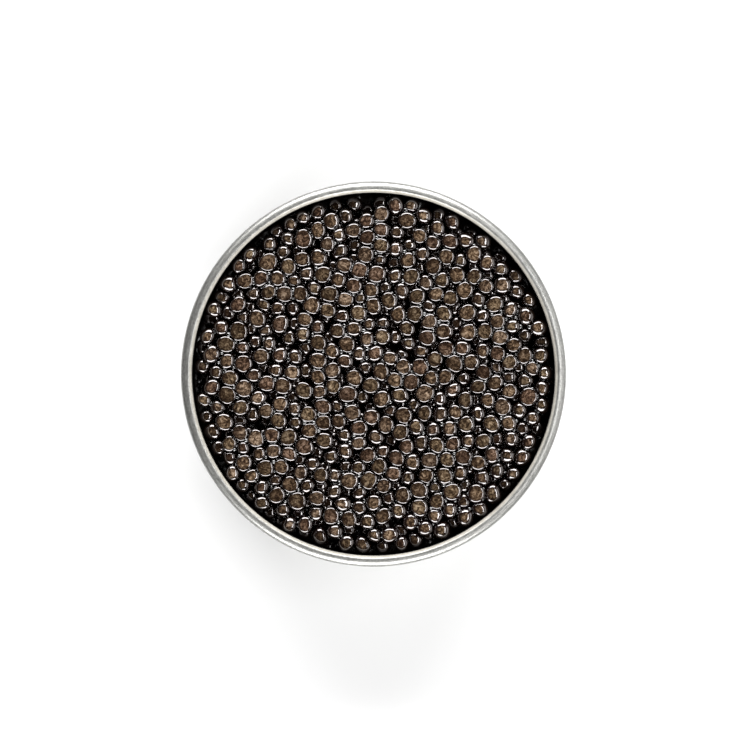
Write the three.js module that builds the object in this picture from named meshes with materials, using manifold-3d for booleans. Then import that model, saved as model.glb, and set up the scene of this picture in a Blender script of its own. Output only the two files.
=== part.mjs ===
// An open tin of sturgeon caviar: a shallow drawn metal tin with a rolled rim, filled with
// small round eggs that the lid has pressed flat on top. Units are millimetres and +Z is up.
// The origin is the centre of the tin's foot, on the surface that it stands on.

import * as THREE from 'three';
import { ConvexGeometry } from 'three/addons/geometries/ConvexGeometry.js';
import { mergeVertices } from 'three/addons/utils/BufferGeometryUtils.js';
import Module from 'manifold-3d';

const wasm = await Module();
wasm.setup();

// Tin
const RIM_RADIUS = 30;
const TIN_HEIGHT = 22;
const CURL_RADIUS = 0.85; // outside radius of the rolled edge's section
const SHEET = 0.25;
const FOOT_INNER = 25.4;
const PANEL_RADIUS = 24.6; // the bottom's raised middle panel
const PANEL_LIFT = 0.7;
const CORNER_RADIUS = 1.25; // between foot and wall, outside
const ROUND_SIDES = 48;
const CURL_FROM = -135; // where the section's circle leaves the wall's outer face, in degrees
const CURL_STEPS = 7;
const CORNER_STEPS = 3;
const CURL_CENTRE = RIM_RADIUS - CURL_RADIUS;
const WALL_INNER = CURL_CENTRE - CURL_RADIUS;
const WALL_OUTER = WALL_INNER + SHEET;

// The eggs and how they are laid
const HEADSPACE = 1; // from the pressed eggs' flat tops up to the rim's crest
const LID_LEVEL = TIN_HEIGHT - HEADSPACE;
const EGG_RADIUS = 1.32;
const EGG_SPREAD = 0.22; // largest departure from the mean radius
const LAYER_COUNTS = [330, 340];
const LAYER_STEP = 2.2;
const LOWEST = 4.6; // deepest that an egg's centre may lie under the lid's level
const PRESSED = 0.66; // a pressed egg's centre under the lid's level, in egg radii
const SINK = 1.25; // a sunken egg lies up to this much lower
const SINK_POWER = 3.4; // makes deep ones rare
const STRAY = 2.2; // how far the eggs start from an even spread
const STRAY_DOWN = 0.5;
const WALL_GAP = 0.25; // the most that an egg keeps off the wall
const GOLDEN_TURN = Math.PI * (3 - Math.sqrt(5));
const WALL_CLEARANCE = 0.15;
const PAN_RADIUS = WALL_INNER - WALL_CLEARANCE;
const EDGE_START = 23.5; // where the heap begins to fall towards the wall
const EDGE_DROP = 1.3;
const CONTACT = 0.955; // share of two radii that neighbours keep between their centres
const SETTLE_STEPS = 120;
const SETTLE_RATE = 0.42;
const LIFT = 0.03; // brings the eggs up under the lid at each step
const SEED = 20240611;

// The solid under the eggs, and the few-sided eggs fused on it
const GAP = 0.3; // clear of the tin
const CORE_DEPTH = 0.95; // under the lid's level
const CORE_LEVEL = LID_LEVEL - CORE_DEPTH;
const CORE_RADIUS = WALL_INNER - GAP;
const EGG_ROOT = 0.25; // how far an egg's solid reaches down into the core
const PRESSED_SIDES = 8;
const SUNKEN_SIDES = 7;
const CROWN = 0.86; // where an unpressed egg's crown is cut flat, in radii above its centre
const SMALLEST_RISE = 0.3; // lower eggs are left out
const FOOTPRINT = 0.93; // keeps neighbouring footprints apart
const WELD = 1e-4; // points nearer than this are one

// Numbers from 0 to 1 by a linear congruential rule, the same on every run
function makeDraw(seed) {
  let state = seed;
  return () => {
    state = (state * 1664525 + 1013904223) % 4294967296;
    return state / 4294967296;
  };
}

// How far the heap's top lies under the lid's level at a distance from the axis
function edgeDrop(distance) {
  const t = Math.min(Math.max((distance - EDGE_START) / (PAN_RADIUS - EDGE_START), 0), 1);
  return EDGE_DROP * t * t;
}

// The eggs before they settle: layers of an even spiral, each egg strayed a little
function scatterEggs() {
  const draw = makeDraw(SEED);
  return LAYER_COUNTS.flatMap((count, layer) => Array.from({ length: count }, (_, i) => {
    const r = EGG_RADIUS + EGG_SPREAD * (draw() + draw() - 1);
    const out = (PAN_RADIUS - EGG_RADIUS) * Math.sqrt((i + 0.5) / count);
    const turn = GOLDEN_TURN * i + layer;
    const x = out * Math.cos(turn) + STRAY * (draw() - 0.5);
    const y = out * Math.sin(turn) + STRAY * (draw() - 0.5);
    const z = LID_LEVEL - PRESSED * r - LAYER_STEP * layer - STRAY_DOWN * draw();
    const sink = SINK * draw() ** SINK_POWER;
    return { x, y, z, r, sink, gap: WALL_GAP * draw() ** 2 };
  }));
}

// The push on each egg from the neighbours that it overlaps
function findPushes(eggs) {
  const pushes = eggs.map(() => ({ x: 0, y: 0, z: 0 }));
  eggs.forEach((a, i) => {
    for (let j = i + 1; j < eggs.length; j++) {
      const b = eggs[j];
      const apart = Math.hypot(a.x - b.x, a.y - b.y, a.z - b.z);
      const lack = CONTACT * (a.r + b.r) / apart - 1;
      if (lack > 0) {
        for (const axis of ['x', 'y', 'z']) {
          const push = lack * (a[axis] - b[axis]);
          pushes[i][axis] += push;
          pushes[j][axis] -= push;
        }
      }
    }
  });
  return pushes;
}

// Keeps an egg inside the wall, under the lid and above the lowest level
function confine(egg) {
  const distance = Math.hypot(egg.x, egg.y);
  const reach = PAN_RADIUS - egg.r - egg.gap;
  if (distance > reach) {
    egg.x *= reach / distance;
    egg.y *= reach / distance;
  }
  const top = LID_LEVEL - PRESSED * egg.r - edgeDrop(distance) - egg.sink;
  egg.z = Math.min(Math.max(egg.z, LID_LEVEL - LOWEST), top);
}

// The eggs once they have pushed each other apart under the lid
function layEggs() {
  const eggs = scatterEggs();
  for (let step = 0; step < SETTLE_STEPS; step++) {
    const pushes = findPushes(eggs);
    eggs.forEach((egg, i) => {
      egg.x += SETTLE_RATE * pushes[i].x;
      egg.y += SETTLE_RATE * pushes[i].y;
      egg.z += SETTLE_RATE * pushes[i].z + LIFT;
      confine(egg);
    });
  }
  return eggs;
}

// A closed mesh as a manifold solid
function toSolid(geometry) {
  const bare = geometry.clone();
  bare.deleteAttribute('normal');
  bare.deleteAttribute('uv');
  const merged = mergeVertices(bare, WELD);
  return new wasm.Manifold(new wasm.Mesh({
    numProp: 3,
    vertProperties: new Float32Array(merged.attributes.position.array),
    triVerts: new Uint32Array(merged.index.array),
  }));
}

// A manifold solid as a geometry
function toGeometry(solid) {
  const mesh = solid.getMesh();
  const geometry = new THREE.BufferGeometry();
  geometry.setAttribute('position', new THREE.BufferAttribute(mesh.vertProperties, 3));
  geometry.setIndex(new THREE.BufferAttribute(mesh.triVerts, 1));
  geometry.computeVertexNormals();
  return geometry;
}

// The height of an egg's flat top
function topOf(egg) {
  return Math.min(LID_LEVEL, egg.z + CROWN * egg.r);
}

// A ring of points round an egg's axis where a plane at one height cuts the egg
function ring(egg, z, sides, turn) {
  const radius = FOOTPRINT * Math.sqrt(egg.r ** 2 - Math.max(z - egg.z, 0) ** 2);
  return Array.from({ length: sides }, (_, k) => {
    const angle = turn + 2 * Math.PI * k / sides;
    return new THREE.Vector3(egg.x + radius * Math.cos(angle), egg.y + radius * Math.sin(angle), z);
  });
}

// The part of an egg that rises out of the core
function eggSolid(egg, turn) {
  const sides = topOf(egg) < LID_LEVEL ? SUNKEN_SIDES : PRESSED_SIDES;
  return toSolid(new ConvexGeometry([
    ...ring(egg, CORE_LEVEL - EGG_ROOT, sides, turn),
    ...ring(egg, topOf(egg), sides, turn),
  ]));
}

// The roe: one solid from the tin's floor up to the eggs' tops
function caviarGeometry() {
  const floor = PANEL_LIFT + SHEET + GAP;
  const outline = [
    [0, floor],
    [CORE_RADIUS - CORNER_RADIUS, floor],
    [CORE_RADIUS, floor + CORNER_RADIUS],
    [CORE_RADIUS, CORE_LEVEL],
    [0, CORE_LEVEL],
  ].map(([x, y]) => new THREE.Vector2(x, y));
  const core = toSolid(new THREE.LatheGeometry(outline, ROUND_SIDES).rotateX(Math.PI / 2));
  const draw = makeDraw(SEED + 1);
  const raised = layEggs()
    .filter(egg => topOf(egg) > CORE_LEVEL + SMALLEST_RISE)
    .map(egg => eggSolid(egg, 2 * Math.PI * draw()));
  return toGeometry(wasm.Manifold.union([core, ...raised]));
}

// Points of an arc in the section plane, with angles in degrees
function arc(centreR, centreZ, radius, from, to, steps) {
  return Array.from({ length: steps + 1 }, (_, k) => {
    const angle = THREE.MathUtils.degToRad(from + (to - from) * k / steps);
    return [centreR + radius * Math.cos(angle), centreZ + radius * Math.sin(angle)];
  });
}

// The tin: one drawn sheet with a stepped bottom, a straight wall and a rolled edge
function tinGeometry() {
  const curlZ = TIN_HEIGHT - CURL_RADIUS;
  const cornerR = WALL_OUTER - CORNER_RADIUS;
  const innerCorner = CORNER_RADIUS - SHEET;
  const outline = [
    [0, PANEL_LIFT],
    [PANEL_RADIUS, PANEL_LIFT],
    [FOOT_INNER, 0],
    ...arc(cornerR, CORNER_RADIUS, CORNER_RADIUS, -90, 0, CORNER_STEPS),
    ...arc(CURL_CENTRE, curlZ, CURL_RADIUS, CURL_FROM, 180, CURL_STEPS),
    ...arc(cornerR, CORNER_RADIUS, innerCorner, 0, -90, CORNER_STEPS),
    [FOOT_INNER + SHEET / 2, SHEET],
    [PANEL_RADIUS + SHEET / 2, PANEL_LIFT + SHEET],
    [0, PANEL_LIFT + SHEET],
  ].map(([x, y]) => new THREE.Vector2(x, y));
  return new THREE.LatheGeometry(outline, ROUND_SIDES).rotateX(Math.PI / 2);
}

const materials = {
  metal: new THREE.MeshStandardMaterial({ color: 0xb4b5ae, roughness: 0.35, metalness: 1 }),
  roe: new THREE.MeshStandardMaterial({ color: 0x3a2f28, roughness: 0.2, metalness: 0 }),
};

function namedMesh(name, geometry, material) {
  const mesh = new THREE.Mesh(geometry, material);
  mesh.name = name;
  return mesh;
}

const openTin = new THREE.Group();
openTin.add(namedMesh('tin', tinGeometry(), materials.metal));
openTin.add(namedMesh('caviar', caviarGeometry(), materials.roe));

export default openTin;
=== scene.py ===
import math

import bpy
import numpy as np
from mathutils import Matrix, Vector


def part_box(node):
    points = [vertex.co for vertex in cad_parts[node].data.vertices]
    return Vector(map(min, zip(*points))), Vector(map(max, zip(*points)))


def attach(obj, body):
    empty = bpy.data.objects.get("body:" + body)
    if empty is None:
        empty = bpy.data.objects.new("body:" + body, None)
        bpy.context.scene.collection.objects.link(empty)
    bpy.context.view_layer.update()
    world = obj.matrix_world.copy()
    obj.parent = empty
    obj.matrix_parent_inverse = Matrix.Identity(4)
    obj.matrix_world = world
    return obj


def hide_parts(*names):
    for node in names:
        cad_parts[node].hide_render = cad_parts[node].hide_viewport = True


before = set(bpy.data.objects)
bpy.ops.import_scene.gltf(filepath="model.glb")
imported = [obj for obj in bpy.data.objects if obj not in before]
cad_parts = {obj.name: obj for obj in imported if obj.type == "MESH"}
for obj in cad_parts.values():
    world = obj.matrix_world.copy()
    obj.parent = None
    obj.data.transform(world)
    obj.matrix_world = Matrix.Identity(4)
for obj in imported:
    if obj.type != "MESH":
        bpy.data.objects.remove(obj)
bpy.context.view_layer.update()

MM = 0.001
TIN_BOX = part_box("tin")
ROE_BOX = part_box("caviar")
RIM_RADIUS = TIN_BOX[1].x / MM
TIN_HEIGHT = TIN_BOX[1].z / MM
LID_LEVEL = ROE_BOX[1].z / MM  # the pressed eggs' flat tops
ROE_FLOOR = ROE_BOX[0].z / MM

# The tin's sheet and outline, in millimetres
SHEET = 0.25
CURL_RADIUS = 0.85
CURL_Z = TIN_HEIGHT - CURL_RADIUS
CREST = 28.89  # where the rolled edge is highest
CURL_ROOT = 170  # where the rolled edge's inner face leaves the wall, in degrees
CURL_END = -130  # where the rolled edge meets the wall, in degrees
WALL_INNER = RIM_RADIUS - 2 * CURL_RADIUS
WALL_OUTER = WALL_INNER + SHEET
CORNER_RADIUS = 1.25
CORNER_CENTRE = WALL_OUTER - CORNER_RADIUS
FOOT_INNER = 25.4
PANEL_RADIUS = 24.6
PANEL_LIFT = 0.7
PANEL_FLAT = PANEL_RADIUS - 0.4  # where the underside's flat panel ends
BEND = 0.35  # radius of the bends from the panel to the foot
PANEL_BEND = PANEL_RADIUS - 0.3  # the bends' centres, from the axis
FOOT_BEND = FOOT_INNER + 0.15
SLOPE_END = (FOOT_INNER - 0.25, 0.22)  # radius and height where the slope between the bends ends
INNER_FLAT = PANEL_RADIUS - 0.1  # where the panel's upper side ends
INNER_FOOT = FOOT_INNER + 0.2
TIN_SIDES = 288
CURL_STEPS = 44
CURL_ROOT_STEPS = 24
CORNER_STEPS = 12
INNER_CORNER_STEPS = 8
WALL_POINTS = 10  # up each side of the wall, with both ends
INNER_WALL_POINTS = 8
LACQUER = (100, 126)  # the lacquer fades in between these degrees round the rolled edge
WET_SHADE_LEVEL = CURL_Z - 0.05  # the inner wall turns near-black under this height: painted shade, with the brine's wetness
WET_SHADE_FADE = 0.4

# How the eggs are laid, in millimetres: the same rule as in the solids
EGG_RADIUS = 1.32
EGG_SPREAD = 0.22  # largest departure from the mean radius
LAYER_COUNTS = (330, 340)
LAYER_STEP = 2.2
LOWEST = 4.6  # deepest that an egg's centre may lie under the lid's level
PRESSED = 0.66  # a pressed egg's centre under the lid's level, in egg radii
SINK = 1.25  # a sunken egg lies up to this much lower
SINK_POWER = 3.4  # makes deep ones rare
STRAY = 2.2  # how far the eggs start from an even spread
STRAY_DOWN = 0.5
WALL_GAP = 0.25  # the most that an egg keeps off the wall
GOLDEN_TURN = math.pi * (3 - math.sqrt(5))
WALL_CLEARANCE = 0.15
PAN_RADIUS = WALL_INNER - WALL_CLEARANCE
EDGE_START = 23.5  # where the heap begins to fall towards the wall
EDGE_DROP = 1.3
CONTACT = 0.955  # share of two radii that neighbours keep between their centres
SETTLE_STEPS = 120
SETTLE_RATE = 0.42
LIFT = 0.03  # brings the eggs up under the lid at each step
SEED = 20240611
DRAW_FACTOR = 1664525  # the congruential rule's three numbers
DRAW_STEP = 1013904223
DRAW_RANGE = 2**32

# The eggs' surfaces: from round where they lie free to pillows where the lid pressed them
ROUND = (2.5, 3.2)  # sharpness of a free egg's form, from and to
PILLOW = (2.4, 4.6)  # what full pressing adds to it
FREE_HEIGHT = (0.9, 1.0)  # a free egg's height above its centre, over its radius
BULGE = 0.03  # how much wider full pressing makes an egg
LEAN = 0.05  # spread of a free egg's lean
LEAN_LOSS = 0.028  # what full pressing takes from it
SQUEEZE = 10  # sharpness of the edges where neighbours press
NEIGHBOUR_GAP = 0.015  # between an egg and the plane that it shares with a neighbour
NEAR = 1.35  # eggs press on each other up to this share of touching distance
OVALS = ((2, 0.1), (3, 0.025), (4, 0.012))  # lobes of the outline, and how deep
OVAL_SHARE = (0.3, 1)  # of that depth, for each egg
LUMPS = ((2.5, 0.006), (4.5, 0.005), (8.0, 0.0025))  # how tight the skin's lumps are, and how deep
ANY_TURN = (0, 6.3)  # in radians
TOP_RINGS = (
    0.22, 0.42, 0.58, 0.7, 0.78, 0.84, 0.875, 0.905, 0.93,
    0.955, 0.98, 1.005, 1.03, 1.06, 1.1, 1.17, 1.3,
)  # polar angles of the points, over that of the top's edge
LOW_RINGS = (0.3, 0.55, 0.75, 0.87, 0.95, 1.03, 1.12, 1.3)
UNDER_RINGS = (0.14, 0.32, 0.56, 0.82)  # the rest of the way to the underside
TOP_SEGMENTS = 28
LOW_SEGMENTS = 20
UPPER_DEPTH = 2.2  # upper eggs have their centres less than this under the lid's level

# What the eggs' material reads at each point
CROWN_UPRIGHT = (0.905, 0.985)  # painted light and shade: the brown top, lit through the egg, fades in between these heights of the normal, and the sides below it are near-black
CROWN_SHADE_FALL = 0.62  # painted shade: how much the brown top darkens from an egg's middle to its outline
MATTE_UPRIGHT = (0.979, 0.986)  # the gloss fades out between these heights of the normal
SHADE = (0.7, 1.1)  # strength of an egg's brown at the heap's top
SHADE_LEAST = 0.06
SHADE_DEPTH = 2.1  # painted shade: eggs darken with depth, and this far under the heap's top show no brown

# The bed under the eggs, in millimetres
BED_RADIUS = WALL_INNER - 0.06
BED_DEPTH = 4.1  # the bed's level under the lid's
BED_EGGS = 440
BED_EGG_DEPTH = 4.45  # the highest centres of the eggs in its relief
BED_EGG_STRAY = 0.4
BED_RINGS = 96
BED_SEGMENTS = 240
BED_SEED = SEED + 2

# Brine in the creases and pits, in millimetres
TOUCHING = 1.01  # eggs that a thread joins lie within this share of touching distance
CLOSE = 1.12  # and the three round a pit within this one
BRIDGE_SHARE = 0.95  # of the touching pairs of upper eggs
BRIDGE_RADIUS = (0.09, 0.2)
BRIDGE_RISE = (0.1, 0.45)  # above the contact, over the eggs' mean radius
BRIDGE_STRETCH = (1.0, 3.4)  # along the crease between the two eggs
POOL_RISE = (0.15, 0.7)  # of a pit's brine above its three eggs' centres, over their mean radius
POOL_RADIUS = (0.12, 0.36)
POOL_FILL = 1.2
POOL_OVAL = (0.75, 1.3)
BEAD_COVER = 1.2  # how far a bead's centre stays under the lid's level, over its radius
BEAD_RINGS = (30, 60, 90, 120, 150)  # in degrees from the top
BEAD_SEGMENTS = 10
BRINE_SEED = SEED + 5

# The noises in the materials, with the size of their features in millimetres
ROE_CLOUD = {"size": 1.05, "detail": 1.5, "distortion": 1.8}
ROE_STREAK = {"size": 0.6, "detail": 1.0, "distortion": 2.2}
ROE_DIMPLES = {"size": 0.22, "detail": 2.0, "distortion": 0.8}
BED_CLOUD = {"size": 1.2}
BRINE_CLOUD = {"size": 0.8}
TIN_GRAIN = {"size": 0.16, "roughness": 0.7}
TIN_CLOUD = {"size": 5.0}
TIN_SPECK = {"size": 0.3, "roughness": 0.6}
TIN_DIMPLES = {"size": 0.18, "detail": 2.0}
NOISE_MEAN = 0.5
ROE_BUMP = {"strength": 0.35, "depth": 0.02}
TIN_BUMP = {"strength": 0.25, "depth": 0.01}

# The eggs' colours, from the darkest mottle to the palest fleck
ROE_KINDS = {
    "roe_brown": (
        (0.0169, 0.0099, 0.0058),
        (0.0704, 0.044, 0.0257),
        (0.1584, 0.1061, 0.0657),
        (0.2534, 0.1837, 0.1254),
    ),
    "roe_olive": (
        (0.0159, 0.0098, 0.0056),
        (0.0662, 0.0434, 0.0248),
        (0.149, 0.1045, 0.0633),
        (0.2385, 0.18, 0.1204),
    ),
    "roe_maroon": (
        (0.0152, 0.0083, 0.0053),
        (0.0635, 0.0371, 0.0235),
        (0.1428, 0.09, 0.06),
        (0.2285, 0.1565, 0.1143),
    ),
    "roe_tan": (
        (0.0195, 0.0118, 0.0076),
        (0.0814, 0.0526, 0.0334),
        (0.1832, 0.1266, 0.0843),
        (0.2931, 0.2185, 0.1583),
    ),
}
KIND_SHARES = (0.33, 0.27, 0.21, 0.19)
MOTTLE_STOPS = (0.14, 0.5, 0.8, 1.0)
CLOUD_WEIGHT = 2.0
STREAK_WEIGHT = 1.7
TONE_WEIGHT = 0.2  # of each egg's own tone
MOTTLE_BASE = 0.5 - (CLOUD_WEIGHT + STREAK_WEIGHT + TONE_WEIGHT) / 2  # keeps the mean at a half
CROWN_UNEVEN = 0.5  # how much the cloud breaks up the brown top
SHADED_FLANK = (0.0066, 0.0033, 0.0022)  # painted shade: the near-black of the eggs' sides
NEUTRAL_SPECULAR = 0.5
ROE_SURFACE = {
    "Roughness": 0.05,
    "IOR": 2.0,
    "Specular Tint": (1, 0.93, 0.925),
    "Coat Roughness": 0.07,
    "Coat IOR": 1.45,
}

# The bed and the brine
DARK_STOPS = (0.35, 0.75)
# painted shade: the bed is near-black for the shade deep under the eggs
BED_COLOURS = ((0.002, 0.0011, 0.0009), (0.006, 0.0033, 0.0024))
BED_SURFACE = {"Roughness": 0.18, "IOR": 1.4}
BRINE_COLOURS = ((0.0008, 0.0006, 0.0005), (0.003, 0.0022, 0.0017))
BRINE_SURFACE = {"Roughness": 0.05, "IOR": 2.3}

# The tin's metal and lacquer
GRAIN_LENGTH = 9  # how much longer than wide the metal's grain is
GRAIN_WEIGHT = 1.3
SPECK_WEIGHT = 0.9
SPECK_BASE = 0.5 - (GRAIN_WEIGHT + SPECK_WEIGHT) / 2
SPECK_STOPS = (0.25, 0.75)
METAL = ((0.23, 0.23, 0.221), (0.46, 0.46, 0.442))
WORN = (0.38, 0.37, 0.345)
WORN_SHARE = 0.25
CREAM = ((0.39, 0.37, 0.32), (0.55, 0.525, 0.47))
# painted shade on the inner wall under the rolled edge, with the brine's wetness
WET_SHADE_COLOUR = (0.006, 0.0045, 0.0035)
BARE_METALLIC = 0.86
LACQUER_METALLIC_LOSS = 0.82
TIN_ROUGHNESS = 0.34
SPECK_ROUGHNESS = 0.12  # what the specks add to it

# The camera, where the photo's frame has the rim's circle
PHOTO_WIDTH = 744
RIM_CENTRE_PX = (373.5, 374.1)
RIM_RADIUS_PX = 192.6
LENS_MM = 200
SENSOR_MM = 36
CLIP_START = 0.01
CLIP_END = 20

# The studio: floor in millimetres, lights in metres
FLOOR_RADIUS = 110
FLOOR_SIDES = 96
FLOOR_DROP = 0.02  # under the foot, so that the two don't share a plane
FLOOR_SURFACE = {"Base Color": (0.735, 0.735, 0.735), "Roughness": 0.9, "Specular IOR Level": 0.0}
WORLD_STOPS = (0.0, 0.35, 0.9)  # heights of the direction
WORLD_GREYS = (0.04, 0.015, 0.006)
PANEL_DISTANCE = 0.9
PANELS = {  # azimuth and angle from the vertical in degrees, width, height, radiance
    "panel_beyond": (91, 61, 1.02, 0.5, 10.8),
    "panel_before": (-93, 61, 1.06, 0.48, 9.4),
    "panel_right": (0, 26, 0.54, 0.12, 12.5),
    "panel_low_right": (0, 66, 1.0, 0.7, 1.25),
}


def fade(value, start, end):
    """How far a value is on its way from start to end, kept from 0 to 1."""
    return np.clip((value - start) / (end - start), 0, 1)


def even_turns(count):
    """Angles in even steps round the axis."""
    return 2 * np.pi * np.arange(count) / count


def make_draw(seed):
    """Numbers from 0 to 1 by a linear congruential rule, the same on every run."""
    state = seed

    def draw():
        nonlocal state
        state = (state * DRAW_FACTOR + DRAW_STEP) % DRAW_RANGE
        return state / DRAW_RANGE

    return draw


def spiral_place(i, count, radius, layer):
    """Where number i of an even spiral's places lies; each layer starts at another turn."""
    out = radius * math.sqrt((i + 0.5) / count)
    turn = GOLDEN_TURN * i + layer
    return out * math.cos(turn), out * math.sin(turn)


def scatter_eggs():
    """Layers of a strayed even spiral: rows of x, y, z, radius, sink, gap at the wall."""
    draw = make_draw(SEED)
    rows = []
    for layer, count in enumerate(LAYER_COUNTS):
        for i in range(count):
            r = EGG_RADIUS + EGG_SPREAD * (draw() + draw() - 1)
            x, y = spiral_place(i, count, PAN_RADIUS - EGG_RADIUS, layer)
            x += STRAY * (draw() - 0.5)
            y += STRAY * (draw() - 0.5)
            z = LID_LEVEL - PRESSED * r - LAYER_STEP * layer - STRAY_DOWN * draw()
            rows.append((x, y, z, r, SINK * draw() ** SINK_POWER, WALL_GAP * draw() ** 2))
    return np.array(rows)


def edge_drop(distance):
    """How far the heap's top lies under the lid's level at a distance from the axis."""
    return EDGE_DROP * fade(distance, EDGE_START, PAN_RADIUS) ** 2


def lay_eggs():
    """Centres and radii of the eggs once they have pushed each other apart under the lid."""
    rows = scatter_eggs()
    at, r, sink, gap = rows[:, :3], rows[:, 3], rows[:, 4], rows[:, 5]
    touching = CONTACT * (r[:, None] + r[None, :])
    for _ in range(SETTLE_STEPS):
        between = at[:, None, :] - at[None, :, :]
        apart = np.sqrt((between**2).sum(axis=2))
        np.fill_diagonal(apart, np.inf)
        lack = np.maximum(touching / apart - 1, 0)
        at = at + SETTLE_RATE * (lack[:, :, None] * between).sum(axis=1)
        distance = np.hypot(at[:, 0], at[:, 1])
        inward = np.minimum((PAN_RADIUS - r - gap) / distance, 1)
        top = LID_LEVEL - PRESSED * r - edge_drop(distance) - sink
        at[:, :2] *= inward[:, None]
        at[:, 2] = np.clip(at[:, 2] + LIFT, LID_LEVEL - LOWEST, top)
    return at, r


def new_piece(name, points, faces, material, smooth=True):
    """A mesh object in the scene, from points in millimetres."""
    mesh = bpy.data.meshes.new(name)
    mesh.from_pydata((np.asarray(points) * MM).tolist(), [], faces)
    mesh.update()
    if smooth:
        mesh.shade_smooth()
    else:
        mesh.shade_flat()
    mesh.materials.append(material)
    piece = bpy.data.objects.new(name, mesh)
    bpy.context.scene.collection.objects.link(piece)
    return piece


def set_attribute(piece, name, values):
    """Stores one number for each point of a piece, for its material."""
    attribute = piece.data.attributes.new(name, "FLOAT", "POINT")
    attribute.data.foreach_set("value", np.asarray(values, np.float32))


def own_piece(piece):
    """Makes a piece of the roe ride with the tin in place of the solid."""
    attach(piece, "root")
    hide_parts("caviar")


def dome_faces(rings, segments):
    """Faces over a pole and the rings of points that follow it."""
    faces = []
    for k in range(segments):
        after = (k + 1) % segments
        faces.append((0, 1 + k, 1 + after))
        for ring in range(rings - 1):
            a = 1 + ring * segments
            b = a + segments
            faces.append((a + k, b + k, b + after, a + after))
    return faces


def globe_faces(rings, segments):
    """Faces of a globe whose points are a pole, rings of points and the other pole."""
    last = rings * segments + 1
    under = last - segments
    cap = [(last, under + (k + 1) % segments, under + k) for k in range(segments)]
    return dome_faces(rings, segments) + cap


def repeat_faces(faces, copies, points_each):
    """Faces of several copies of a mesh, whose points follow each other."""
    return [tuple(n * points_each + v for v in face) for n in range(copies) for face in faces]


def globe_points(polar, segments):
    """Unit directions of a globe's points, from each ring's polar angle at each segment."""
    along = np.broadcast_to(even_turns(segments), polar.shape)
    rings = [np.sin(polar) * np.cos(along), np.sin(polar) * np.sin(along), np.cos(polar)]
    return np.vstack([[0, 0, 1], np.stack(rings, axis=2).reshape(-1, 3), [0, 0, -1]])


def egg_directions(edge, rings, segments):
    """Directions of an egg's points, with rings close together near the top's edge."""
    upper = np.outer(rings, edge)
    under = upper[-1] + np.outer(UNDER_RINGS, np.pi - upper[-1])
    return globe_points(np.vstack([upper, under]), segments)


def upright_share(skin, segments):
    """The height of the unit normal at each point of a globe's skin."""
    grid = skin[1:-1].reshape(-1, segments, 3)
    along = np.roll(grid, -1, axis=1) - np.roll(grid, 1, axis=1)
    normal = np.cross(np.gradient(grid, axis=0), along)
    return np.concatenate([[1], (normal[..., 2] / np.linalg.norm(normal, axis=2)).ravel(), [-1]])


def egg_outline(radius, press, segments, random):
    """How far an egg's oval outline lies from its middle at each segment."""
    turns = even_turns(segments)
    width = np.full(segments, radius * (1 + BULGE * press))
    for lobes, depth in OVALS:
        share = random.uniform(*OVAL_SHARE)
        width *= 1 + share * depth * np.cos(lobes * (turns - random.uniform(*ANY_TURN)))
    return width


def egg_skin(i, at, r, rings, segments, random):
    """Points of one egg's skin, how much of its brown top shows at each, with painted light on the
    upright top and painted shade down the sides, and its gloss there.
    """
    lid_height = LID_LEVEL - at[i, 2]
    press = fade(lid_height / r[i], 1, PRESSED)
    width = egg_outline(r[i], press, segments, random)
    height = min(lid_height, random.uniform(*FREE_HEIGHT) * r[i])
    sharpness = random.uniform(*ROUND) + press * random.uniform(*PILLOW)
    lean = random.normal(0, LEAN - LEAN_LOSS * press, 2)

    u = egg_directions(np.arctan2(width, height), rings, segments)
    wide = np.concatenate([[width[0]], np.tile(width, len(rings) + len(UNDER_RINGS)), [width[0]]])
    out = (np.hypot(u[:, 0], u[:, 1]) / wide) ** sharpness
    above = (np.maximum(u @ np.array([*lean, 1]), 0) / height) ** sharpness
    below = (np.maximum(-u[:, 2], 0) / r[i]) ** sharpness
    total = (out + (above + below)) ** (SQUEEZE / sharpness)
    apart = np.linalg.norm(at - at[i], axis=1)
    for j in np.flatnonzero((apart < NEAR * (r + r[i])) & (apart > 0)):
        face = apart[j] * r[i] / (r[i] + r[j]) - NEIGHBOUR_GAP
        total += (np.maximum(u @ (at[j] - at[i]) / apart[j], 0) / face) ** SQUEEZE
    reach = total ** (-1 / SQUEEZE)
    for tightness, depth in LUMPS:
        reach *= 1 + depth * np.sin(u @ random.normal(0, tightness, 3) + random.uniform(*ANY_TURN))

    skin = u * reach[:, None]
    upright = upright_share(skin, segments)
    crown = fade(upright, *CROWN_UPRIGHT)
    # painted shade: the brown top darkens towards the egg's outline
    crown *= 1 - CROWN_SHADE_FALL * (np.hypot(skin[:, 0], skin[:, 1]) / r[i]) ** 2
    return at[i] + skin, crown, 1 - fade(upright, *MATTE_UPRIGHT)


def add_eggs(name, chosen, at, r, rings, segments, random, material):
    """One piece of the chosen eggs, with the numbers that its material reads."""
    points = []
    marks = {"crown": [], "gloss": [], "tone": [], "shade": []}
    for i in chosen:
        skin, crown, gloss = egg_skin(i, at, r, rings, segments, random)
        heap_top = LID_LEVEL - edge_drop(math.hypot(at[i, 0], at[i, 1]))
        # painted shade: the egg's brown darkens with its depth under the heap's top
        shade = random.uniform(*SHADE) * (1 - (heap_top - skin[0, 2]) / SHADE_DEPTH)
        points.append(skin)
        values = (crown, gloss, random.uniform(), np.clip(shade, SHADE_LEAST, 1))
        for mark, value in zip(marks.values(), values):
            mark.append(np.broadcast_to(value, len(skin)))
    faces = globe_faces(len(rings) + len(UNDER_RINGS), segments)
    joined = repeat_faces(faces, len(points), len(points[0]))
    piece = new_piece(name, np.vstack(points), joined, material)
    for key, values in marks.items():
        set_attribute(piece, key, np.concatenate(values))
    own_piece(piece)


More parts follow.
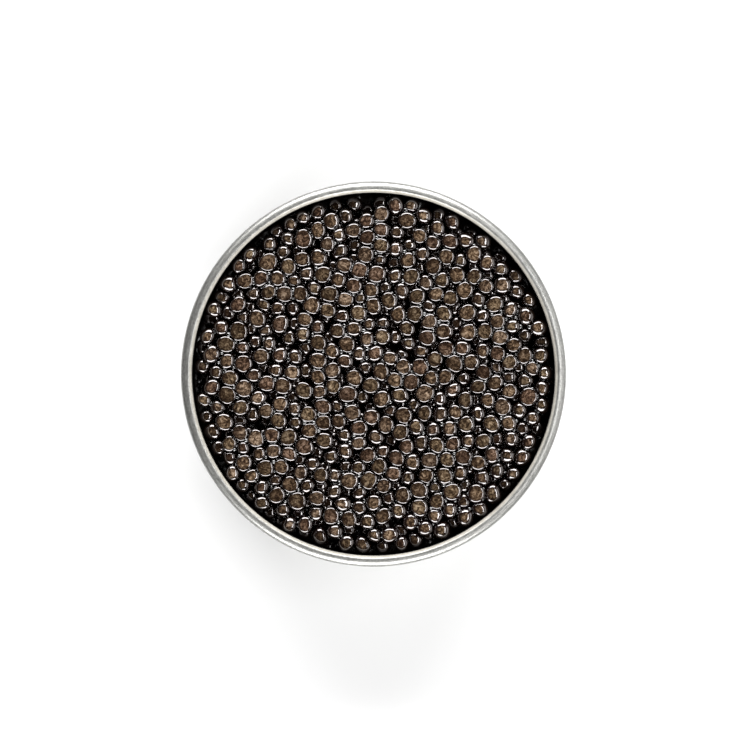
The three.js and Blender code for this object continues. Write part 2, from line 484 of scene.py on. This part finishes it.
def feed_inputs(tree, node, inputs):
    """Sets a node's inputs, by name or number, to values or to other nodes' outputs."""
    for key, value in inputs.items():
        socket = node.inputs[key]
        if isinstance(value, bpy.types.NodeSocket):
            tree.links.new(value, socket)
        elif socket.type == "RGBA":
            socket.default_value = (*value, 1)
        else:
            socket.default_value = value


def add_node(tree, kind, inputs=None, **settings):
    """A shader node with its settings and inputs."""
    node = tree.nodes.new(kind)
    for key, value in settings.items():
        setattr(node, key, value)
    feed_inputs(tree, node, inputs or {})
    return node


def new_material(name):
    """An empty node material, with its node tree and its principled shader."""
    material = bpy.data.materials.new(name)
    material.use_nodes = True
    return material, material.node_tree, material.node_tree.nodes["Principled BSDF"]


def object_place(tree):
    """The place of the shaded point on its object."""
    return add_node(tree, "ShaderNodeTexCoord").outputs["Object"]


def read_attribute(tree, name):
    """The number that set_attribute stored under this name."""
    return add_node(tree, "ShaderNodeAttribute", attribute_name=name).outputs["Fac"]


def add_ramp(tree, source, stops, colours):
    """A colour ramp on a number, with a colour at each stop."""
    ramp = add_node(tree, "ShaderNodeValToRGB", {"Fac": source})
    elements = ramp.color_ramp.elements
    while len(elements) < len(stops):
        elements.new(0.5)
    for element, stop, colour in zip(elements, stops, colours):
        element.position = stop
        element.color = (*colour, 1)
    return ramp.outputs["Color"]


def add_noise(tree, source, size, detail=3.0, roughness=0.5, distortion=0.0):
    """A noise whose features are about this many millimetres across."""
    inputs = {
        "Vector": source,
        "Scale": 1 / (size * MM),
        "Detail": detail,
        "Roughness": roughness,
        "Distortion": distortion,
    }
    return add_node(tree, "ShaderNodeTexNoise", inputs).outputs["Fac"]


def add_bump(tree, source, noise, strength, depth):
    """A normal bumped by a noise, to a depth in millimetres."""
    height = add_noise(tree, source, **noise)
    inputs = {"Strength": strength, "Distance": depth * MM, "Height": height}
    return add_node(tree, "ShaderNodeBump", inputs).outputs["Normal"]


def add_math(tree, operation, *values, clamp=False):
    """A math node whose inputs are sockets or numbers."""
    inputs = dict(enumerate(values))
    return add_node(tree, "ShaderNodeMath", inputs, operation=operation, use_clamp=clamp).outputs[0]


def add_vector_math(tree, operation, inputs):
    """The outputs of a vector math node."""
    return add_node(tree, "ShaderNodeVectorMath", inputs, operation=operation).outputs


def add_sum(tree, base, *terms):
    """A weighted sum of sockets and a base."""
    total = base
    for socket, weight in terms:
        total = add_math(tree, "MULTIPLY_ADD", socket, weight, total)
    return total


def add_mix(tree, share, a, b):
    """A colour mix of two colours or sockets."""
    node = add_node(tree, "ShaderNodeMix", {"Factor": share}, data_type="RGBA")
    colours = {socket.name: n for n, socket in enumerate(node.inputs) if socket.type == "RGBA"}
    feed_inputs(tree, node, {colours["A"]: a, colours["B"]: b})
    return next(socket for socket in node.outputs if socket.type == "RGBA")


def add_ring_place(tree, place):
    """Coordinates that run slowly round the axis and fast across, for a grain along the rim."""
    split = add_node(tree, "ShaderNodeSeparateXYZ", {"Vector": place}).outputs
    flat = add_node(tree, "ShaderNodeCombineXYZ", {"X": split["X"], "Y": split["Y"]}).outputs[0]
    distance = add_vector_math(tree, "LENGTH", {0: flat})["Value"]
    around = add_vector_math(tree, "NORMALIZE", {0: flat})[0]
    scale = RIM_RADIUS * MM / GRAIN_LENGTH
    slow = add_vector_math(tree, "SCALE", {0: around, "Scale": scale})[0]
    across = add_math(tree, "SUBTRACT", distance, split["Z"])
    rise = add_node(tree, "ShaderNodeCombineXYZ", {"Z": across}).outputs[0]
    return add_vector_math(tree, "ADD", {0: slow, 1: rise})[0]


def roe_material(name, colours):
    """Roe glossy with brine: a mottled top with painted light that turns to painted near-black shade
    down the glossy sides and on sunken eggs.
    """
    material, tree, shader = new_material(name)
    place = object_place(tree)
    cloud = add_noise(tree, place, **ROE_CLOUD)
    streak = add_noise(tree, place, **ROE_STREAK)
    tone = read_attribute(tree, "tone")
    terms = ((cloud, CLOUD_WEIGHT), (streak, STREAK_WEIGHT), (tone, TONE_WEIGHT))
    skin = add_ramp(tree, add_sum(tree, MOTTLE_BASE, *terms), MOTTLE_STOPS, colours)
    # painted light and shade: brown on the upright tops, near-black down the sides and on sunken
    # eggs
    shown = add_math(tree, "MULTIPLY", read_attribute(tree, "crown"), read_attribute(tree, "shade"))
    swing = add_math(tree, "SUBTRACT", cloud, NOISE_MEAN)
    uneven = add_math(tree, "MAXIMUM", add_sum(tree, shown, (swing, CROWN_UNEVEN)), 0.0)
    shown = add_math(tree, "MULTIPLY", uneven, shown, clamp=True)
    gloss = read_attribute(tree, "gloss")
    inputs = {
        "Base Color": add_mix(tree, shown, SHADED_FLANK, skin),
        "Normal": add_bump(tree, place, ROE_DIMPLES, **ROE_BUMP),
        "Coat Weight": gloss,
        "Specular IOR Level": add_math(tree, "MULTIPLY", gloss, NEUTRAL_SPECULAR),
    }
    feed_inputs(tree, shader, {**ROE_SURFACE, **inputs})
    return material


def dark_material(name, cloud, colours, surface):
    """A material glossy with brine that varies between two nearly black colours; on the bed these
    are painted shade.
    """
    material, tree, shader = new_material(name)
    noise = add_noise(tree, object_place(tree), **cloud)
    colour = add_ramp(tree, noise, DARK_STOPS, colours)
    feed_inputs(tree, shader, {**surface, "Base Color": colour})
    return material


def bed_material():
    """The bed under the eggs that show, glossy with brine, near-black as painted shade."""
    return dark_material("roe_bed", BED_CLOUD, BED_COLOURS, BED_SURFACE)


def brine_material():
    """Dark brine, which shows only as glints."""
    return dark_material("brine", BRINE_CLOUD, BRINE_COLOURS, BRINE_SURFACE)


def tin_material():
    """Satin metal with a fine grain round the tin, and a cream lacquer on the inner side that turns
    near-black down the inner wall: painted shade, with the brine's wetness.
    """
    material, tree, shader = new_material("tin_satin")
    place = object_place(tree)
    lacquer = read_attribute(tree, "lacquer")
    grain = add_noise(tree, add_ring_place(tree, place), **TIN_GRAIN)
    speck = add_noise(tree, place, **TIN_SPECK)
    speck = add_sum(tree, SPECK_BASE, (grain, GRAIN_WEIGHT), (speck, SPECK_WEIGHT))
    wear = add_math(tree, "MULTIPLY", add_noise(tree, place, **TIN_CLOUD), WORN_SHARE)
    metal = add_mix(tree, wear, add_ramp(tree, speck, SPECK_STOPS, METAL), WORN)
    dry_unshaded = add_mix(tree, lacquer, metal, add_ramp(tree, speck, SPECK_STOPS, CREAM))
    lost = add_math(tree, "MULTIPLY", lacquer, LACQUER_METALLIC_LOSS)
    inputs = {
        # painted shade, with the brine's wetness: the lacquer turns near-black down the inner wall
        "Base Color": add_mix(tree, read_attribute(tree, "wet_shade"), dry_unshaded, WET_SHADE_COLOUR),
        "Metallic": add_math(tree, "SUBTRACT", BARE_METALLIC, lost),
        "Roughness": add_sum(tree, TIN_ROUGHNESS, (speck, SPECK_ROUGHNESS)),
        "Normal": add_bump(tree, place, TIN_DIMPLES, **TIN_BUMP),
    }
    feed_inputs(tree, shader, inputs)
    return material


def arc(centre_r, centre_z, radius, start, end, steps):
    """Points of an arc in the section plane, with angles in degrees."""
    angles = np.radians(np.linspace(start, end, steps + 1))
    return [(centre_r + radius * math.cos(a), centre_z + radius * math.sin(a)) for a in angles]


def curl(inset, start, end, steps):
    """Points of the rolled edge, wider outward than inward, with its lacquer's share."""
    points = []
    for degrees in np.linspace(start, end, steps + 1):
        a = math.radians(degrees)
        wide = (RIM_RADIUS - CREST if math.cos(a) > 0 else CREST - WALL_INNER) - inset
        r = CREST + wide * math.cos(a)
        z = CURL_Z + (CURL_RADIUS - inset) * math.sin(a)
        points.append((r, z, fade(degrees, *LACQUER)))
    return points


def tin_section():
    """The sheet's closed outline as (radius, height, lacquer), from the underside's middle round."""
    outside = [
        (0, PANEL_LIFT),
        (PANEL_FLAT, PANEL_LIFT),
        *arc(PANEL_BEND, PANEL_LIFT - BEND, BEND, 80, 45, steps=3),
        SLOPE_END,
        *arc(FOOT_BEND, BEND, BEND, 215, 270, steps=4),
        *arc(CORNER_CENTRE, CORNER_RADIUS, CORNER_RADIUS, -90, 0, CORNER_STEPS),
        *[(WALL_OUTER, z) for z in np.linspace(CORNER_RADIUS, CURL_Z, WALL_POINTS)[1:]],
    ]
    inside = [
        (WALL_INNER, WET_SHADE_LEVEL),
        (WALL_INNER, WET_SHADE_LEVEL - WET_SHADE_FADE),
        *[(WALL_INNER, z) for z in np.linspace(CURL_Z, CORNER_RADIUS, INNER_WALL_POINTS)[1:]],
        *arc(CORNER_CENTRE, CORNER_RADIUS, CORNER_RADIUS - SHEET, 0, -90, INNER_CORNER_STEPS)[1:],
        (INNER_FOOT, SHEET),
        (INNER_FLAT, PANEL_LIFT + SHEET),
        (0, PANEL_LIFT + SHEET),
    ]
    section = [(r, z, 0.0) for r, z in outside]
    section += [(r, z, 0.0) for r, z, _ in curl(SHEET, CURL_ROOT, CURL_END, CURL_ROOT_STEPS)]
    section += curl(0, CURL_END, 180, CURL_STEPS)
    return section + [(r, z, 1.0) for r, z in inside]


def build_tin():
    """The tin: the section turned round the axis."""
    turns = even_turns(TIN_SIDES)
    points, lacquer, wet_shade, rows = [], [], [], []
    for r, z, share in tin_section():
        ring = [(0, 0, z)] if r == 0 else [(r * math.cos(t), r * math.sin(t), z) for t in turns]
        rows.append([len(points) + k % len(ring) for k in range(TIN_SIDES)])
        points += ring
        lacquer += [share] * len(ring)
        # painted shade, with the brine's wetness, under the rolled edge on the inner wall
        wet_shade += [share * fade(z, WET_SHADE_LEVEL, WET_SHADE_LEVEL - WET_SHADE_FADE)] * len(ring)
    faces = []
    for row, following in zip(rows, rows[1:]):
        for k in range(TIN_SIDES):
            after = (k + 1) % TIN_SIDES
            corners = (row[k], row[after], following[after], following[k])
            faces.append(tuple(dict.fromkeys(corners)))  # a triangle at the axis
    tin = new_piece("tin_shell", points, faces, tin_material())
    set_attribute(tin, "lacquer", lacquer)
    set_attribute(tin, "wet_shade", wet_shade)
    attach(tin, "root")
    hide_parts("tin")


def bed_top():
    """Points of the bed's top, with the next layer's eggs as relief."""
    radii = BED_RADIUS * np.linspace(0, 1, BED_RINGS + 1)[1:]
    turns = even_turns(BED_SEGMENTS)
    x = np.concatenate([[0], np.outer(radii, np.cos(turns)).ravel()])
    y = np.concatenate([[0], np.outer(radii, np.sin(turns)).ravel()])
    height = np.full(len(x), LID_LEVEL - BED_DEPTH)
    draw = make_draw(BED_SEED)
    for i in range(BED_EGGS):
        egg_x, egg_y = spiral_place(i, BED_EGGS, BED_RADIUS, layer=len(LAYER_COUNTS))
        egg_z = LID_LEVEL - BED_EGG_DEPTH - BED_EGG_STRAY * draw()
        gap = EGG_RADIUS**2 - (x - egg_x) ** 2 - (y - egg_y) ** 2
        height = np.maximum(height, np.where(gap > 0, egg_z + np.sqrt(np.maximum(gap, 0)), 0))
    return np.stack([x, y, height], axis=1)


def build_bed():
    """The core under the eggs: its top, then one ring each for its wall's foot and its floor."""
    turns = even_turns(BED_SEGMENTS)
    unit = np.stack([np.cos(turns), np.sin(turns), 0 * turns], axis=1)
    wall_foot = BED_RADIUS * unit + (0, 0, ROE_FLOOR + CORNER_RADIUS)
    floor_edge = (BED_RADIUS - CORNER_RADIUS) * unit + (0, 0, ROE_FLOOR)
    points = np.vstack([bed_top(), wall_foot, floor_edge])
    faces = dome_faces(BED_RINGS + 2, BED_SEGMENTS)
    faces.append(tuple(reversed(range(len(points) - BED_SEGMENTS, len(points)))))
    own_piece(new_piece("roe_bed", points, faces, bed_material()))


def bridge(at, r, i, j, ball, random):
    """A thread of brine that follows egg i's outline where it touches egg j."""
    between = at[j] - at[i]
    apart = np.linalg.norm(between)
    size = random.uniform(*BRIDGE_RADIUS)
    centre = at[i] + between * r[i] / (r[i] + r[j])
    rise = random.uniform(*BRIDGE_RISE) * (r[i] + r[j]) / 2
    centre[2] = min(centre[2] + rise, LID_LEVEL - BEAD_COVER * size)
    crease = np.array([-between[1], between[0], 0]) / np.hypot(*between[:2])
    bead = ball * size
    along = (bead @ crease) * random.uniform(*BRIDGE_STRETCH)
    bead += np.outer(along - bead @ crease, crease)
    bead -= np.outer(along**2 / (2 * r[i]), between / apart)
    return centre + bead


def pool(at, r, three, ball, random):
    """A bead of brine that fills the pit between three eggs."""
    centre = np.average(at[three], axis=0, weights=1 / r[three])
    centre[2] += random.uniform(*POOL_RISE) * r[three].mean()
    clear = (np.linalg.norm(at[three] - centre, axis=1) - r[three]).mean()
    size = np.clip(POOL_FILL * clear, *POOL_RADIUS)
    centre[2] = min(centre[2], LID_LEVEL - BEAD_COVER * size)
    return centre + ball * size * random.uniform(*POOL_OVAL, 3)


def build_brine(at, r, upper):
    """Brine in the creases between eggs that touch and in the pits between three of them."""
    random = np.random.default_rng(BRINE_SEED)
    polar = np.outer(np.radians(BEAD_RINGS), np.ones(BEAD_SEGMENTS))
    ball = globe_points(polar, BEAD_SEGMENTS)
    beads = []
    apart = np.linalg.norm(at[:, None] - at[None], axis=2)
    both_upper = upper[:, None] & upper[None]
    touching = (apart < TOUCHING * (r[:, None] + r[None])) & both_upper
    close = (apart < CLOSE * (r[:, None] + r[None])) & both_upper
    for i in np.flatnonzero(upper):
        for j in np.flatnonzero(touching[i]):
            if j > i and random.uniform() < BRIDGE_SHARE:
                beads.append(bridge(at, r, i, j, ball, random))
        for j in np.flatnonzero(close[i]):
            for k in np.flatnonzero(close[i] & close[j]):
                if k > j > i:
                    beads.append(pool(at, r, [i, j, k], ball, random))
    faces = repeat_faces(globe_faces(len(BEAD_RINGS), BEAD_SEGMENTS), len(beads), len(ball))
    own_piece(new_piece("brine", np.vstack(beads), faces, brine_material()))


def build_roe():
    """All the eggs that show, in pieces by colour, with the brine and the bed."""
    at, r = lay_eggs()
    random = np.random.default_rng(SEED)
    kinds = random.choice(len(ROE_KINDS), len(at), p=KIND_SHARES)
    upper = LID_LEVEL - at[:, 2] < UPPER_DEPTH
    for kind, (name, colours) in enumerate(ROE_KINDS.items()):
        chosen = np.flatnonzero(upper & (kinds == kind))
        material = roe_material(name, colours)
        add_eggs(name, chosen, at, r, TOP_RINGS, TOP_SEGMENTS, random, material)
    material = roe_material("roe_lower", ROE_KINDS["roe_brown"])
    add_eggs("roe_lower", np.flatnonzero(~upper), at, r, LOW_RINGS, LOW_SEGMENTS, random, material)
    build_brine(at, r, upper)
    build_bed()


def add_panel(name, azimuth, off_vertical, width, height, radiance):
    """A soft rectangular light that faces the roe; radiance is relative to the picture's white."""
    a, t = math.radians(azimuth), math.radians(off_vertical)
    data = bpy.data.lights.new(name, "AREA")
    data.shape = "RECTANGLE"
    data.size = width
    data.size_y = height
    data.energy = radiance * math.pi * width * height
    light = bpy.data.objects.new(name, data)
    back = Vector((math.cos(a) * math.sin(t), math.sin(a) * math.sin(t), math.cos(t)))
    light.location = Vector((0, 0, LID_LEVEL * MM)) + back * PANEL_DISTANCE
    light.rotation_mode = "QUATERNION"
    light.rotation_quaternion = back.to_track_quat("Z", "Y")
    light.visible_camera = False
    bpy.context.scene.collection.objects.link(light)


def build_lights():
    """Softboxes beyond, before and to the right of the tin, with nothing straight above or left."""
    for name, values in PANELS.items():
        add_panel(name, *values)


def build_world():
    """Dim studio round the object; the camera sees it white."""
    world = bpy.data.worlds.new("studio")
    world.use_nodes = True
    tree = world.node_tree
    tree.nodes.clear()
    direction = add_node(tree, "ShaderNodeTexCoord").outputs["Generated"]
    height = add_node(tree, "ShaderNodeSeparateXYZ", {"Vector": direction}).outputs["Z"]
    greys = [(grey, grey, grey) for grey in WORLD_GREYS]
    dim = add_ramp(tree, height, WORLD_STOPS, greys)
    around = add_node(tree, "ShaderNodeBackground", {"Color": dim}).outputs[0]
    seen = add_node(tree, "ShaderNodeBackground", {"Color": (1, 1, 1)}).outputs[0]
    by_camera = add_node(tree, "ShaderNodeLightPath").outputs["Is Camera Ray"]
    mix = add_node(tree, "ShaderNodeMixShader", {0: by_camera, 1: around, 2: seen}).outputs[0]
    add_node(tree, "ShaderNodeOutputWorld", {"Surface": mix})
    bpy.context.scene.world = world


def build_floor():
    """A plain pale floor."""
    material, tree, shader = new_material("floor")
    feed_inputs(tree, shader, FLOOR_SURFACE)
    turns = even_turns(FLOOR_SIDES)
    x, y = FLOOR_RADIUS * np.cos(turns), FLOOR_RADIUS * np.sin(turns)
    rim = np.stack([x, y, 0 * turns - FLOOR_DROP], axis=1)
    floor = new_piece("floor", rim, [tuple(range(FLOOR_SIDES))], material, smooth=False)


def build_camera():
    """A camera straight above, at the distance where the rim has the photo's size."""
    mm_per_px = RIM_RADIUS / RIM_RADIUS_PX
    distance = LENS_MM / SENSOR_MM * PHOTO_WIDTH * mm_per_px * MM
    middle = PHOTO_WIDTH / 2
    data = bpy.data.cameras.new("camera")
    data.lens = LENS_MM
    data.sensor_width = SENSOR_MM
    data.clip_start = CLIP_START
    data.clip_end = CLIP_END
    camera = bpy.data.objects.new("camera", data)
    camera.location = (
        (middle - RIM_CENTRE_PX[0]) * mm_per_px * MM,
        (RIM_CENTRE_PX[1] - middle) * mm_per_px * MM,
        CURL_Z * MM + distance,
    )
    bpy.context.scene.collection.objects.link(camera)
    bpy.context.scene.camera = camera


bpy.context.scene.view_settings.view_transform = "Standard"
build_camera()
build_lights()
build_world()
build_floor()
build_tin()
build_roe()
